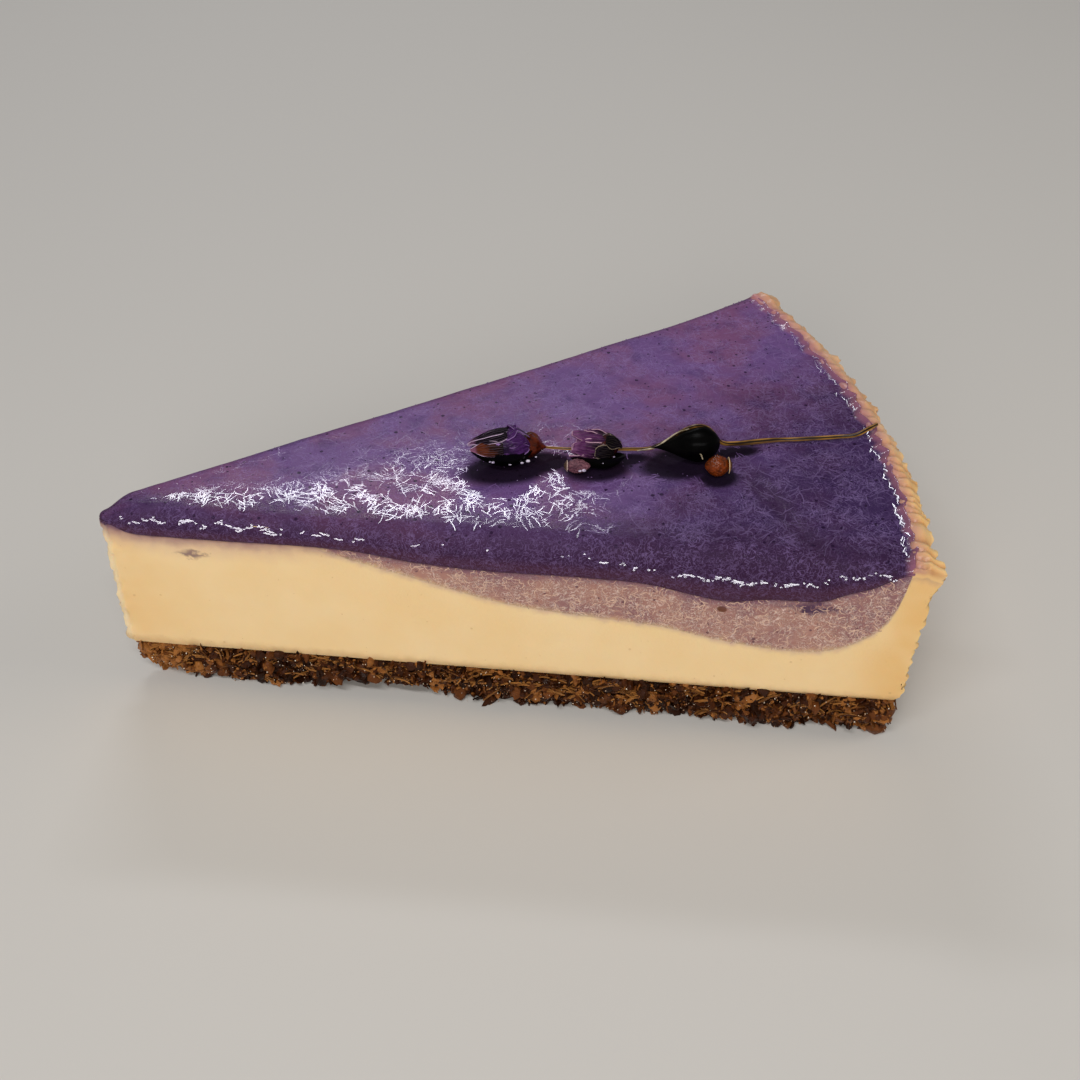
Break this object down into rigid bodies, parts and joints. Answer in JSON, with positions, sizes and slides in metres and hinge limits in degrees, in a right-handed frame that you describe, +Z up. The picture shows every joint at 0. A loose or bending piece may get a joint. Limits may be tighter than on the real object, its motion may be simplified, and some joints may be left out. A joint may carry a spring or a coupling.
{
  "type": "lavender mastic cheesecake slice",
  "caption": "Wedge slice of lavender cheesecake: crumb base, cream filling with rim, mauve layer, glossy lavender glaze and a dried lavender sprig",
  "frame": {"origin": "on the surface that the slice stands on, midway along its length and width", "axes": "+X from the tip to the outer wall along the centreline, +Z up out of the glaze, +Y to the far cut face"},
  "size_m": [0.1121, 0.0711, 0.0369],
  "materials": {
    "crumb": "pressed brown biscuit crumbs, ragged and dull",
    "cream": "smooth pale cream cheese, satin",
    "mauve_cream": "mauve cream cheese with fine pores, satin",
    "glaze": "wet, glossy lavender jelly with fine specks",
    "stem": "dry straw-gold stalk",
    "petal": "dried purple petals with paler edges",
    "amber": "amber brown dried calyx, slightly shiny",
    "pod": "dark olive dried pod, slightly shiny"
  },
  "bodies": {
    "root": {"crumb_base": "crumb", "cream_filling": "cream", "lavender_layer": "mauve_cream", "lavender_glaze": "glaze", "sprig_stem": "stem", "bud_tip": "petal", "bud_calyx": "amber", "flower_open": "petal", "bud_middle": "petal", "pod_dark": "pod", "bud_amber": "amber"}
  },
  "joints": []
}
